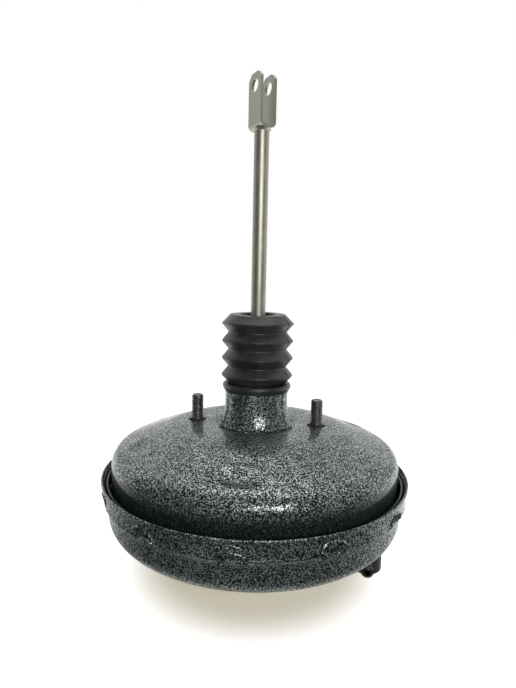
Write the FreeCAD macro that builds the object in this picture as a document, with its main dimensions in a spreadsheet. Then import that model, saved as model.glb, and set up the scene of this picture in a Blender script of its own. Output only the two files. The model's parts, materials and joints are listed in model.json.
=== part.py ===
import FreeCAD, Part
import math
import os
import Sketcher
from FreeCAD import Placement, Rotation, Vector

# Brake booster, millimetres. The origin is midway between the rear studs, on the plane of their rings' tops.
# +Z runs along the booster's axis towards the clevis, and X runs through the two rear studs.

doc = FreeCAD.newDocument("BrakeBooster")

# Driving sizes. Levels are heights along the axis, measured from the flat top of the dome.
sizes = {
    # how the radii and levels of the shells follow from the rim
    "rim_flare": "1.5",
    "shoulder_inset": "3.9",
    "lance_depth": "3.6",
    "lip_clearance": "1.0",
    "groove_width": "4.0",
    "window_reach": "2.7",
    "step_run": "6.0",
    "cone_run": "50.6",
    "dent_inset": "19.5",
    "clamp_inset": "1.2",
    "clamp_taper": "1.6",
    "clamp_thickness": "6.5",
    "clamp_step": "2.0",
    "roll_run": "9.6",
    "roll_gap": "5.6",
    "dish_rim_run": "2.0",
    "valve_inset": "23.6",
    "lance_draft": "1.4",
    "band_height": "14.0",
    "shoulder_height": "7.0",
    "groove_depth": "13.2",
    "turned_lip_height": "10.2",
    "lance_rise": "6.5",
    "lance_drop": "1.1",
    "lance_roof": "0.6",
    "lance_floor": "3.4",
    "window_drop": "0.9",
    "bowl_depth": "26.8",
    "bowl_fall": "9.4",
    "step_height": "5.3",
    "boss_drop": "7.9",
    "chamber_height": "13.1",
    "nipple_drop": "5.4",
    "stub_bead_height": "1.7",
    "clamp_height": "4.3",
    "roll_foot_rise": "2.8",
    "roll_height": "20.5",
    "collar_height": "9.9",
    "front_stud_length": "26.0",
    "ring_play": "0.3",
    # front shell
    "rim_radius": "125.0",
    "rim_level": "-38.5",
    "lip_height": "1.6",
    "lip_taper": "1.4",
    "band_bend": "2.4",
    "shoulder_bend": "5.0",
    "front_sheet": "1.6",
    "bevel_shift": "0.9",
    "bowl_bend": "16.0",
    "step_bend": "5.0",
    "pad_radius": "60.0",
    "opening_radius": "21.0",
    # lances pressed into the rim band
    "lance_count": "12",
    "lance_turn": "1.4",
    "lance_half_width": "9.0",
    "lance_bend": "4.0",
    "lance_inner_bend": "1.5",
    "lance_sheet": "1.5",
    "lance_embed": "0.3",
    # rear shell
    "rear_sheet": "1.6",
    "dome_corner": "-19.1",
    "dome_bend": "13.0",
    "knee_bend": "60.0",
    "groove_bend": "1.0",
    "window_gap": "0.5",
    "neck_radius": "26.2",
    "neck_top": "33.0",
    "neck_sheet": "1.8",
    "bead_level": "30.3",
    "bead_radius": "27.2",
    "bead_crest": "0.7",
    "bead_reach": "1.7",
    "flare_level": "9.5",
    "flare_bend": "46.0",
    "foot_radius": "30.0",
    "foot_level": "-0.9",
    "foot_inset": "1.6",
    "well_level": "-1.8",
    "well_radius": "33.0",
    "well_edge_radius": "38.0",
    "well_bend": "6.0",
    "dent_count": "6",
    "dent_tilt": "20.7",
    "dent_level": "-4.6",
    "dent_height": "8.0",
    "dent_length": "23.0",
    "dent_width": "14.0",
    # rear studs and their dished rings
    "rear_stud_circle": "50.5",
    "rear_stud_radius": "5.0",
    "rear_knurl_radius": "5.4",
    "rear_stud_length": "20.9",
    "rear_stud_point": "3.4",
    "rear_stud_point_radius": "3.9",
    "rear_stud_chamfer": "0.9",
    "rear_head_radius": "9.0",
    "rear_head_height": "3.0",
    "ring_sheet": "0.6",
    "ring_radius": "7.9",
    "ring_rise": "1.2",
    "ring_flat": "6.2",
    # front studs, plate and seal
    "stud_count": "2",
    "stud_hole_depth": "8.0",
    "front_stud_circle": "40.0",
    "front_stud_radius": "4.0",
    "front_knurl_radius": "4.8",
    "front_head_radius": "7.5",
    "front_head_height": "3.2",
    "front_stud_chamfer": "0.8",
    "plate_radius": "50.0",
    "plate_sheet": "3.0",
    "collar_sheet": "2.6",
    "collar_bend": "2.0",
    "seal_height": "5.5",
    "seal_lip": "1.6",
    # boot
    "boot_sheet": "1.8",
    "boot_top": "90.2",
    "boot_top_radius": "22.5",
    "boot_hole_radius": "14.5",
    "ridge_radius": "29.95",
    "valley_radius": "24.0",
    "ridge_inner_radius": "27.3",
    "valley_inner_radius": "21.9",
    "top_ridge_level": "82.6",
    "ridge_pitch": "14.17",
    "half_pitch": "7.085",
    "ridge_count": "4",
    "waist_radius": "24.7",
    "waist_level": "33.2",
    "collar_radius": "28.4",
    "collar_lip": "34.4",
    "collar_foot": "26.8",
    "collar_round": "0.5",
    "waist_inner_radius": "22.8",
    # neck parts
    "neck_seal_level": "18.5",
    "neck_seal_height": "5.5",
    "bush_height": "5.0",
    "neck_ring_height": "1.6",
    "bush_clearance": "0.08",
    "free_gap": "0.3",
    # power piston
    "tail_radius": "20.0",
    "tail_gap": "0.3",
    "tail_bore": "15.5",
    "tail_bore_level": "30.0",
    "poppet_bore": "14.0",
    "poppet_bore_floor": "5.4",
    "seat_outer": "12.2",
    "seat_inner": "10.6",
    "seat_top": "8.0",
    "seat_floor": "3.0",
    "plunger_bore": "8.3",
    "disc_top": "-23.0",
    "disc_height": "6.0",
    "disc_radius": "12.7",
    "rod_head_radius": "13.0",
    "recess_radius": "13.3",
    "rod_head_height": "3.2",
    "hub_radius": "30.0",
    "hub_taper": "26.5",
    "hub_round": "2.0",
    "hub_neck_radius": "21.1",
    "hub_neck_top": "-4.2",
    "web_level": "-7.2",
    "web_sheet": "2.0",
    "hub_bead_height": "2.4",
    "hub_bead_radius": "25.0",
    "dish_flat_radius": "50.0",
    "dish_bend": "20.0",
    "dish_edge_drop": "17.2",
    "dish_edge_bend": "4.0",
    "dish_rim_drop": "20.3",
    "dish_rim_depth": "26.0",
    "dish_sheet": "1.3",
    "roll_sheet": "1.9",
    "roll_round": "1.5",
    # output rod
    "output_rod_radius": "5.0",
    "output_rod_end": "-102.0",
    "screw_radius": "6.2",
    "screw_end": "-109.0",
    "screw_round": "5.0",
    "output_ring_bore": "5.6",
    "output_fillet": "1.2",
    "output_ring_sheet": "1.5",
    # stop key
    "key_top": "-15.0",
    "key_sheet": "2.0",
    "key_half_width": "6.0",
    "key_inner": "5.6",
    "key_outer": "27.0",
    "key_clearance": "0.15",
    "key_round": "1.5",
    # plunger, ball and poppet
    "plunger_radius": "8.0",
    "plunger_front": "-20.6",
    "waist_depth_radius": "5.2",
    "waist_foot": "-17.3",
    "waist_top": "-12.7",
    "head_radius": "9.9",
    "head_foot": "5.4",
    "head_top": "8.7",
    "ball_level": "-4.0",
    "ball_radius": "6.0",
    "ball_round": "5.9",
    "ball_cheek": "2.2",
    "socket_radius": "6.3",
    "socket_round": "5.8",
    "socket_mouth": "5.3",
    "socket_mouth_level": "1.6",
    "socket_flare": "6.6",
    "socket_shoulder": "-1.6",
    "poppet_hole": "7.8",
    "poppet_radius": "13.3",
    "poppet_gap": "0.3",
    "poppet_face": "3.0",
    "poppet_sleeve": "1.2",
    "poppet_top": "24.0",
    "retainer_foot": "24.3",
    "retainer_inner": "11.6",
    "retainer_flange": "9.2",
    "retainer_sheet": "1.2",
    # input rod
    "rod_radius": "6.0",
    "rod_neck_radius": "4.5",
    "rod_shoulder": "46.05",
    "rod_top": "236.0",
    "weld_radius": "7.4",
    "weld_height": "1.5",
    "seat_clearance": "0.05",
    "rod_seat_radius": "10.5",
    "rod_seat_sheet": "2.0",
    "filter_foot": "66.0",
    "filter_top": "82.0",
    "silencer_foot": "58.0",
    "filter_bore": "11.2",
    "filter_ring_sheet": "1.6",
    # clevis
    "clevis_height": "41.5",
    "clevis_half_gap": "5.0",
    "ear_sheet": "2.2",
    "ear_half_width": "9.4",
    "clevis_bend": "4.2",
    "clevis_inner_bend": "2.0",
    "ear_chamfer": "4.4",
    "ear_round": "3.0",
    "pin_drop": "9.4",
    "pin_radius": "5.0",
    "clevis_turn": "38.0",
    # springs
    "runs_per_turn": "18.0",
    "wire_sides": "8.0",
    "return_wire_radius": "2.0",
    "return_top_radius": "33.6",
    "return_foot_radius": "28.0",
    "return_turns": "4.5",
    "poppet_wire_radius": "0.6",
    "poppet_spring_radius": "10.4",
    "poppet_turns": "4.0",
    "input_wire_radius": "0.8",
    "input_spring_foot_radius": "11.4",
    "input_spring_top_radius": "9.2",
    "input_turns": "3.5",
    "check_wire_radius": "0.4",
    "check_spring_radius": "5.6",
    "check_turns": "4.0",
    # check valve
    "valve_azimuth": "-15.7",
    "nipple_turn": "-2.5",
    "boss_radius": "15.0",
    "boss_height": "8.2",
    "boss_pocket_depth": "15.0",
    "grommet_hole": "9.0",
    "grommet_bore": "7.2",
    "grommet_flange": "11.6",
    "grommet_flange_height": "2.4",
    "grommet_inner_flange": "11.8",
    "grommet_inner_height": "3.0",
    "grommet_round": "0.8",
    "stub_radius": "7.12",
    "stub_bead_radius": "8.2",
    "stub_taper": "1.6",
    "stub_bore": "4.0",
    "chamber_radius": "12.2",
    "chamber_bore": "9.8",
    "chamber_roof": "2.6",
    "chamber_round": "1.2",
    "cap_sheet": "2.2",
    "cap_plug_radius": "4.6",
    "cap_plug_height": "2.5",
    "nipple_radius": "3.9",
    "nipple_bore": "2.4",
    "nipple_length": "26.0",
    "barb_radius": "4.6",
    "barb_length": "4.5",
    "barb_tip": "1.5",
    "nipple_start": "10.6",
    "valve_disc_radius": "8.6",
    "valve_disc_sheet": "1.4",
    "valve_disc_gap": "0.3",
}

# Worked-out levels and radii, each a sum of driving sizes.
levels = {
    "band_radius": "rim_radius - rim_flare",
    "side_radius": "band_radius - shoulder_inset",
    "lance_depth_radius": "band_radius - lance_depth",
    "turned_lip_radius": "band_radius - front_sheet - lip_clearance",
    "dome_radius": "turned_lip_radius - groove_width",
    "window_depth_radius": "turned_lip_radius - window_reach",
    "step_radius": "pad_radius + step_run",
    "knee_radius": "dome_radius - cone_run",
    "dent_radius": "dome_radius - dent_inset",
    "clamp_radius": "turned_lip_radius - clamp_inset",
    "clamp_foot_radius": "clamp_radius - clamp_taper",
    "clamp_inner_radius": "clamp_foot_radius - clamp_thickness",
    "roll_foot_radius": "clamp_inner_radius + clamp_step",
    "roll_radius": "roll_foot_radius - roll_run",
    "dish_edge_radius": "roll_radius - roll_gap",
    "dish_rim_radius": "dish_edge_radius + dish_rim_run",
    "valve_circle": "side_radius - valve_inset",
    "lance_inner_half_width": "lance_half_width - lance_draft",
    "band_foot": "rim_level - band_height",
    "shoulder_foot": "band_foot - shoulder_height",
    "groove_floor": "rim_level - groove_depth",
    "turned_lip_top": "groove_floor + turned_lip_height",
    "lance_top": "band_foot + lance_rise",
    "lance_foot": "band_foot - lance_drop",
    "lance_inner_top": "lance_top - lance_roof",
    "lance_inner_foot": "lance_foot + lance_floor",
    "window_foot": "groove_floor - window_drop",
    "bowl_level": "band_foot - bowl_depth",
    "step_level": "bowl_level - bowl_fall",
    "front_level": "step_level - step_height",
    "boss_level": "bowl_level - boss_drop",
    "chamber_top": "boss_level - grommet_flange_height - free_gap",
    "chamber_foot": "chamber_top - chamber_height",
    "nipple_level": "chamber_top - nipple_drop",
    "stub_bead_foot": "boss_inside + grommet_inner_height + free_gap",
    "stub_top": "stub_bead_foot + stub_bead_height",
    "clamp_foot": "flange_foot - clamp_height",
    "roll_foot_level": "flange_foot + roll_foot_rise",
    "roll_level": "roll_foot_level + roll_height",
    "collar_top": "plate_inside + collar_height",
    "front_stud_end": "front_level - front_stud_length",
    "piston_front": "disc_foot - rod_head_height - ring_play - output_ring_sheet",
    "front_inside": "front_level + front_sheet",
    "plate_inside": "front_inside + plate_sheet",
    "flange_foot": "groove_floor - rear_sheet",
    "neck_bore": "neck_radius - neck_sheet",
    "dish_top": "web_level - web_sheet - free_gap",
    "dish_bottom": "dish_top - dish_sheet",
    "bush_level": "neck_seal_level + neck_seal_height",
    "neck_ring_level": "bush_level + bush_height",
    "tail_top": "boot_top - boot_sheet - tail_gap",
    "disc_foot": "disc_top - disc_height",
    "poppet_foot": "head_top + poppet_gap",
    "rod_seat_top": "rod_shoulder - seat_clearance",
    "clevis_top": "rod_top + clevis_height",
    "pin_level": "clevis_top - pin_drop",
    "boss_inside": "boss_level + front_sheet",
    "chamber_ceiling": "chamber_top - chamber_roof",
}

# Adds up a text such as "a + b - c", whose words are sizes, levels or numbers.
def value(text):
    total = 0.0
    sign = 1.0
    for word in text.split():
        if word in ("+", "-"):
            sign = 1.0 if word == "+" else -1.0
            continue
        if word in levels:
            amount = value(levels[word])
        elif word in sizes:
            amount = float(sizes[word])
        else:
            amount = float(word)
        total += sign * amount
        sign = 1.0
    return total


# Turns the same text into an expression on the two sheets.
def bound(text):
    words = []
    for word in text.split():
        if word in levels:
            words.append("Levels." + word)
        elif word in sizes:
            words.append("Sizes." + word)
        else:
            words.append(word)
    return " ".join(words)


def fillSheet(name, cells):
    sheet = doc.addObject("Spreadsheet::Sheet", name)
    for row, (alias, text) in enumerate(cells.items(), start=1):
        sheet.set("A%d" % row, alias.replace("_", " "))
        sheet.set("B%d" % row, text)
        sheet.setAlias("B%d" % row, alias)
    doc.recompute()
    return sheet


fillSheet("Sizes", sizes)
fillSheet("Levels", {alias: "=" + bound(text).replace("Levels.", "") for alias, text in levels.items()})


# Sketching helpers

# Every piece is lowered by the height of the stud rings, so that their tops lie at zero.
def lowered(piece):
    piece.Placement = Placement(Vector(0, 0, -value("ring_rise")), Rotation())
    piece.setExpression("Placement.Base.z", "0 - " + bound("ring_rise"))
    return piece


def newBody(label):
    body = doc.addObject("PartDesign::Body", label)
    body.Label = label
    return lowered(body)


def originFeature(body, role):
    return next(item for item in body.Origin.OriginFeatures if item.Role == role)


# The polar place of a point, as two expressions on the sheet.
def polar(circle, azimuth):
    return (bound(circle) + " * cos(" + bound(azimuth) + ")", bound(circle) + " * sin(" + bound(azimuth) + ")")


def polarValue(circle, azimuth):
    angle = math.radians(value(azimuth))
    return Vector(value(circle) * math.cos(angle), value(circle) * math.sin(angle), 0)


# A sketch on a plane of the body's own origin, raised to a height and centred on a polar place.
def newSketch(body, name, plane="XZ_Plane", height="0", centre=("0", "0")):
    sketch = body.newObject("Sketcher::SketchObject", body.Label + name)
    sketch.AttachmentSupport = [(originFeature(body, plane), "")]
    sketch.MapMode = "FlatFace"
    sketch.AttachmentOffset = Placement(polarValue(*centre) + Vector(0, 0, value(height)), Rotation())
    across, along = polar(*centre)
    sketch.setExpression("AttachmentOffset.Base.x", across)
    sketch.setExpression("AttachmentOffset.Base.y", along)
    sketch.setExpression("AttachmentOffset.Base.z", bound(height))
    return sketch


# Swings a sketch that stands across the -Y axis about Z, keeping its distance from the axis.
def swing(sketch, distance, turn):
    angle = math.radians(value(turn))
    spot = Vector(math.sin(angle), 0, math.cos(angle)) * value(distance)
    sketch.AttachmentOffset = Placement(spot, Rotation(Vector(0, 1, 0), value(turn)))
    sketch.setExpression("AttachmentOffset.Base.x", "(" + bound(distance) + ") * sin(" + bound(turn) + ")")
    sketch.setExpression("AttachmentOffset.Base.z", "(" + bound(distance) + ") * cos(" + bound(turn) + ")")
    sketch.setExpression("AttachmentOffset.Rotation.Angle", bound(turn))


# Holds a sketch point at x, y from the sketch's origin.
def pinPoint(sketch, geo, pos, x, y, tag):
    for kind, text, letter in (("DistanceX", x, "x"), ("DistanceY", y, "y")):
        number = sketch.addConstraint(Sketcher.Constraint(kind, -1, 1, geo, pos, value(text)))
        sketch.renameConstraint(number, letter + tag)
        sketch.setExpression("Constraints." + letter + tag, bound(text))


# Closed outline through corners (x, y) or (x, y, bend), the bend being the corner's radius.
def drawOutline(sketch, corners):
    spots = [Vector(value(corner[0]), value(corner[1]), 0) for corner in corners]
    count = len(corners)
    starts, ends, arcs = [], [], []
    for index, spot in enumerate(spots):
        if len(corners[index]) < 3:
            starts.append(spot)
            ends.append(spot)
            arcs.append(None)
            continue
        radius = value(corners[index][2])
        back = (spots[index - 1] - spot).normalize()
        ahead = (spots[(index + 1) % count] - spot).normalize()
        half = back.getAngle(ahead) / 2
        reach = radius / math.tan(half)
        first = spot + back * reach
        last = spot + ahead * reach
        middle = spot + (back + ahead).normalize() * (radius / math.sin(half) - radius)
        ends.append(first)
        starts.append(last)
        turns_left = ahead.cross(back).z > 0
        arcs.append(Part.Arc(first, middle, last) if turns_left else Part.Arc(last, middle, first))
    for index in range(count):
        sketch.addGeometry(Part.LineSegment(starts[index], ends[(index + 1) % count]), False)
    for index, arc in enumerate(arcs):
        before = (index - 1) % count
        tag = str(index)
        if arc is None:
            sketch.addConstraint(Sketcher.Constraint("Coincident", before, 2, index, 1))
            pinPoint(sketch, index, 1, corners[index][0], corners[index][1], tag)
            continue
        round_geo = sketch.addGeometry(arc, False)
        point_geo = sketch.addGeometry(Part.Point(spots[index]), True)
        forward = (arc.StartPoint - ends[index]).Length < 1e-6
        first_pos, last_pos = (1, 2) if forward else (2, 1)
        sketch.addConstraint(Sketcher.Constraint("PointOnObject", point_geo, 1, before))
        sketch.addConstraint(Sketcher.Constraint("PointOnObject", point_geo, 1, index))
        pinPoint(sketch, point_geo, 1, corners[index][0], corners[index][1], tag)
        sketch.addConstraint(Sketcher.Constraint("Tangent", before, 2, round_geo, first_pos))
        sketch.addConstraint(Sketcher.Constraint("Tangent", index, 1, round_geo, last_pos))
        bend = value(corners[index][2])
        number = sketch.addConstraint(Sketcher.Constraint("Radius", round_geo, bend))
        sketch.renameConstraint(number, "bend" + tag)
        sketch.setExpression("Constraints.bend" + tag, bound(corners[index][2]))


def drawCircle(sketch, x, y, radius):
    centre = Vector(value(x), value(y), 0)
    geo = sketch.addGeometry(Part.Circle(centre, Vector(0, 0, 1), value(radius)), False)
    tag = str(geo)
    pinPoint(sketch, geo, 3, x, y, tag)
    number = sketch.addConstraint(Sketcher.Constraint("Radius", geo, value(radius)))
    sketch.renameConstraint(number, "radius" + tag)
    sketch.setExpression("Constraints.radius" + tag, bound(radius))


def addFeature(body, kind, name, sketch):
    feature = body.newObject("PartDesign::" + kind, body.Label + name)
    if kind in ("Chamfer", "Fillet"):
        feature.Base = sketch
    else:
        feature.Profile = sketch
    body.Tip = feature
    return feature


# A body turned about the Z axis from an outline in radius and level.
def turned(label, corners):
    body = newBody(label)
    sketch = newSketch(body, "Profile")
    drawOutline(sketch, corners)
    feature = addFeature(body, "Revolution", "Turned", sketch)
    feature.ReferenceAxis = (sketch, ["V_Axis"])
    feature.Angle = 360
    return body


# A coil spring of straight runs, whose wire centre climbs from foot to top.
def coiled(label, foot_radius, foot, top_radius, top, wire, turns):
    runs = round(value(turns) * value("runs_per_turn"))
    path = []
    for step in range(runs + 1):
        share = step / runs
        radius = value(foot_radius) + (value(top_radius) - value(foot_radius)) * share
        angle = 2 * math.pi * value(turns) * share
        level = value(foot) + (value(top) - value(foot)) * share
        path.append(Vector(radius * math.cos(angle), radius * math.sin(angle), level))
    facing = Rotation(Vector(0, 0, 1), path[1] - path[0])
    sides = int(value("wire_sides"))
    ring = []
    for side in range(sides + 1):
        angle = 2 * math.pi * side / sides
        ring.append(path[0] + facing.multVec(Vector(math.cos(angle), math.sin(angle), 0) * value(wire)))
    spring = doc.addObject("Part::Feature", label)
    spring.Label = label
    spring.Shape = Part.makePolygon(path).makePipeShell([Part.makePolygon(ring)], True, False, 1)
    return lowered(spring)


# Moves a finished body to a polar place, and turns it about its own axis.
def placeAt(body, circle, azimuth, turn="0"):
    spot = polarValue(circle, azimuth) - Vector(0, 0, value("ring_rise"))
    body.Placement = Placement(spot, Rotation(Vector(0, 0, 1), value(turn)))
    across, along = polar(circle, azimuth)
    body.setExpression("Placement.Base.x", across)
    body.setExpression("Placement.Base.y", along)
    if turn != "0":
        body.setExpression("Placement.Rotation.Angle", bound(turn))


# Repeats a feature evenly about the Z axis.
def patterned(body, feature, count, name):
    pattern = body.newObject("PartDesign::PolarPattern", body.Label + name)
    pattern.Originals = [feature]
    pattern.Axis = (originFeature(body, "Z_Axis"), [""])
    pattern.Angle = 360
    pattern.setExpression("Occurrences", bound(count))
    body.Tip = pattern
    return pattern


# A straight-sided arch, rounded at its top.
def archCorners(half_width, foot, top, bend):
    left = "0 - " + half_width
    return [(left, foot), (half_width, foot), (half_width, top, bend), (left, top, bend)]


# A loft between two arches that stand across the -Y axis, repeated round the rim.
def lanceLoft(body, kind, name, outer, inner):
    sketches = []
    for side, (depth, corners) in (("Outer", outer), ("Inner", inner)):
        sketch = newSketch(body, name + side)
        swing(sketch, depth, "lance_turn")
        drawOutline(sketch, corners)
        sketches.append(sketch)
    loft = addFeature(body, kind, name, sketches[0])
    loft.Sections = [sketches[1]]
    loft.Ruled = True
    return patterned(body, loft, "lance_count", name + "Ring")


# A round pocket or hole along Z, cut upwards from its height.
def bored(body, name, radius, height, depth, centre=("0", "0")):
    sketch = newSketch(body, name + "Sketch", "XY_Plane", height, centre)
    drawCircle(sketch, "0", "0", radius)
    pocket = addFeature(body, "Pocket", name, sketch)
    pocket.Reversed = True
    pocket.setExpression("Length", bound(depth))
    return pocket


# Shells

def makeFrontShell():
    body = turned("front_shell", [
        ("rim_radius", "rim_level"),
        ("rim_radius", "rim_level - lip_height"),
        ("band_radius", "rim_level - lip_height - lip_taper"),
        ("band_radius", "band_foot", "band_bend"),
        ("side_radius", "shoulder_foot", "shoulder_bend"),
        ("side_radius", "bowl_level", "bowl_bend"),
        ("step_radius", "step_level", "step_bend"),
        ("pad_radius", "front_level", "step_bend"),
        ("opening_radius", "front_level"),
        ("opening_radius", "front_inside"),
        ("pad_radius", "front_inside", "step_bend - front_sheet"),
        ("step_radius", "step_level + front_sheet", "step_bend - front_sheet"),
        ("side_radius - front_sheet", "bowl_level + front_sheet", "bowl_bend - front_sheet"),
        ("side_radius - front_sheet", "shoulder_foot + bevel_shift", "shoulder_bend + front_sheet"),
        ("band_radius - front_sheet", "band_foot + bevel_shift", "band_bend - front_sheet"),
        ("band_radius - front_sheet", "rim_level - lip_height - lip_taper"),
        ("rim_radius - front_sheet", "rim_level - lip_height"),
        ("rim_radius - front_sheet", "rim_level"),
    ])
    # The back of each lance, one sheet behind its face
    lanceLoft(
        body, "AdditiveLoft", "LanceBack",
        ("band_radius - front_sheet + lance_embed", archCorners(
            "lance_half_width + lance_sheet", "lance_foot + lance_embed", "lance_top + lance_sheet", "lance_bend")),
        ("lance_depth_radius - front_sheet", archCorners(
            "lance_inner_half_width + lance_sheet", "lance_inner_foot - lance_embed",
            "lance_inner_top + lance_sheet", "lance_inner_bend")),
    )
    lanceLoft(
        body, "SubtractiveLoft", "LanceFace",
        ("rim_radius", archCorners("lance_half_width + lance_embed", "lance_foot - lance_embed", "lance_top", "lance_bend")),
        ("lance_depth_radius", archCorners(
            "lance_inner_half_width", "lance_inner_foot", "lance_inner_top", "lance_inner_bend")),
    )
    # The pressed boss that carries the check valve
    centre = ("valve_circle", "valve_azimuth")
    sketch = newSketch(body, "BossSketch", "XY_Plane", "boss_level", centre)
    drawCircle(sketch, "0", "0", "boss_radius")
    boss = addFeature(body, "Pad", "Boss", sketch)
    boss.setExpression("Length", bound("boss_height"))
    bored(body, "BossPocket", "boss_radius - front_sheet", "boss_inside", "boss_pocket_depth", centre)
    bored(body, "GrommetHole", "grommet_hole", "boss_level - front_sheet", "boss_pocket_depth", centre)
    holes = bored(body, "StudHole", "front_knurl_radius", "front_level - front_sheet", "boss_pocket_depth",
                  ("front_stud_circle", "0"))
    patterned(body, holes, "stud_count", "StudHoles")
    return body


def makeNeckTube():
    return turned("neck_tube", [
        ("neck_bore", "neck_top"),
        ("neck_radius", "neck_top"),
        ("neck_radius", "bead_level + bead_reach"),
        ("bead_radius", "bead_level + bead_crest"),
        ("bead_radius", "bead_level - bead_crest"),
        ("neck_radius", "bead_level - bead_reach"),
        ("neck_radius", "flare_level", "flare_bend"),
        ("foot_radius", "foot_level"),
        ("foot_radius", "well_level"),
        ("foot_radius - foot_inset", "well_level"),
        ("neck_bore", "flare_level", "flare_bend - neck_sheet"),
    ])


def makeRearShell():
    body = turned("rear_shell", [
        ("neck_bore", "well_level"),
        ("well_radius", "well_level", "well_bend"),
        ("well_edge_radius", "0", "well_bend"),
        ("knee_radius", "0", "knee_bend"),
        ("dome_radius", "dome_corner", "dome_bend"),
        ("dome_radius", "groove_floor", "groove_bend"),
        ("turned_lip_radius - rear_sheet", "groove_floor", "groove_bend"),
        ("turned_lip_radius - rear_sheet", "turned_lip_top"),
        ("turned_lip_radius", "turned_lip_top"),
        ("turned_lip_radius", "flange_foot", "groove_bend + rear_sheet"),
        ("dome_radius - rear_sheet", "flange_foot"),
        ("dome_radius - rear_sheet", "dome_corner - rear_sheet", "dome_bend - rear_sheet"),
        ("knee_radius", "0 - rear_sheet", "knee_bend - rear_sheet"),
        ("well_edge_radius", "0 - rear_sheet", "well_bend - rear_sheet"),
        ("well_radius", "well_level - rear_sheet", "well_bend - rear_sheet"),
        ("neck_bore", "well_level - rear_sheet"),
    ])
    # Windows in the turned-up lip, where the lances of the rim catch it
    sketch = newSketch(body, "WindowSketch")
    swing(sketch, "window_depth_radius", "lance_turn")
    drawOutline(sketch, [
        ("0 - lance_half_width - lance_sheet - window_gap", "window_foot"),
        ("lance_half_width + lance_sheet + window_gap", "window_foot"),
        ("lance_half_width + lance_sheet + window_gap", "lance_top + lance_sheet + window_gap"),
        ("0 - lance_half_width - lance_sheet - window_gap", "lance_top + lance_sheet + window_gap"),
    ])
    window = addFeature(body, "Pocket", "Window", sketch)
    window.Reversed = True
    window.setExpression("Length", bound("rim_radius - window_depth_radius"))
    patterned(body, window, "lance_count", "Windows")
    # Shallow dents pressed into the dome
    dent = body.newObject("PartDesign::SubtractiveEllipsoid", "rear_shellDent")
    dent.AttachmentSupport = [(originFeature(body, "XY_Plane"), "")]
    dent.MapMode = "FlatFace"
    tilt = Rotation(Vector(1, 0, 0), value("dent_tilt"))
    dent.AttachmentOffset = Placement(Vector(0, -value("dent_radius"), value("dent_level")), tilt)
    dent.setExpression("AttachmentOffset.Base.y", "0 - " + bound("dent_radius"))
    dent.setExpression("AttachmentOffset.Base.z", bound("dent_level"))
    dent.setExpression("Radius1", bound("dent_height"))
    dent.setExpression("Radius2", bound("dent_length"))
    dent.setExpression("Radius3", bound("dent_width"))
    body.Tip = dent
    patterned(body, dent, "dent_count", "Dents")
    bored(body, "StudHole", "rear_knurl_radius", "well_level - rear_sheet", "stud_hole_depth", ("rear_stud_circle", "0"))
    patterned(body, body.Tip, "stud_count", "StudHoles")
    return body


# Fasteners

# Two solids of one stud shape, on opposite sides of the axis, in one node.
def pairOf(label, circle, corners):
    studs = []
    for side, azimuth in (("Right", "0"), ("Left", "180")):
        stud = turned(label + side, corners)
        placeAt(stud, circle, azimuth)
        studs.append(stud)
    pair = doc.addObject("Part::Compound", label)
    pair.Label = label
    pair.Links = studs
    return pair


def makeRearStuds():
    return pairOf("rear_studs", "rear_stud_circle", [
        ("0", "0 - rear_sheet - rear_head_height"),
        ("rear_head_radius", "0 - rear_sheet - rear_head_height"),
        ("rear_head_radius", "0 - rear_sheet"),
        ("rear_knurl_radius", "0 - rear_sheet"),
        ("rear_knurl_radius", "ring_rise"),
        ("rear_stud_radius", "ring_rise"),
        ("rear_stud_radius", "rear_stud_length - rear_stud_point"),
        ("rear_stud_point_radius", "rear_stud_length - rear_stud_point + rear_stud_chamfer"),
        ("rear_stud_point_radius", "rear_stud_length - rear_stud_chamfer"),
        ("rear_stud_point_radius - rear_stud_chamfer", "rear_stud_length"),
        ("0", "rear_stud_length"),
    ])


def makeStudRings():
    return pairOf("stud_rings", "rear_stud_circle", [
        ("rear_knurl_radius", "0"),
        ("ring_flat", "0"),
        ("ring_radius", "ring_rise - ring_sheet"),
        ("ring_radius", "ring_rise"),
        ("ring_flat", "ring_sheet"),
        ("rear_knurl_radius", "ring_sheet"),
    ])


def makeFrontStuds():
    return pairOf("front_studs", "front_stud_circle", [
        ("0", "plate_inside + front_head_height"),
        ("0", "front_stud_end"),
        ("front_stud_radius - front_stud_chamfer", "front_stud_end"),
        ("front_stud_radius", "front_stud_end + front_stud_chamfer"),
        ("front_stud_radius", "front_level"),
        ("front_knurl_radius", "front_level"),
        ("front_knurl_radius", "plate_inside"),
        ("front_head_radius", "plate_inside"),
        ("front_head_radius", "plate_inside + front_head_height"),
    ])


def makeFrontPlate():
    body = turned("reinforcement_plate", [
        ("opening_radius", "front_inside"),
        ("plate_radius", "front_inside"),
        ("plate_radius", "plate_inside"),
        ("opening_radius + collar_sheet", "plate_inside", "collar_bend"),
        ("opening_radius + collar_sheet", "collar_top"),
        ("opening_radius", "collar_top"),
    ])
    hole = bored(body, "StudHole", "front_knurl_radius", "front_level", "stud_hole_depth", ("front_stud_circle", "0"))
    patterned(body, hole, "stud_count", "StudHoles")
    return body


def makeFrontSeal():
    return turned("front_seal", [
        ("output_rod_radius + free_gap", "collar_top - seal_height"),
        ("output_rod_radius + free_gap + seal_lip", "collar_top - seal_height"),
        ("output_rod_radius + free_gap + seal_lip", "collar_top - seal_lip"),
        ("opening_radius - seal_lip", "collar_top - seal_lip"),
        ("opening_radius - seal_lip", "collar_top - seal_height"),
        ("opening_radius", "collar_top - seal_height"),
        ("opening_radius", "collar_top"),
        ("output_rod_radius + free_gap", "collar_top"),
    ])


# Neck of the rear shell: seal, guide bush and retaining ring, and the rubber boot

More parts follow.
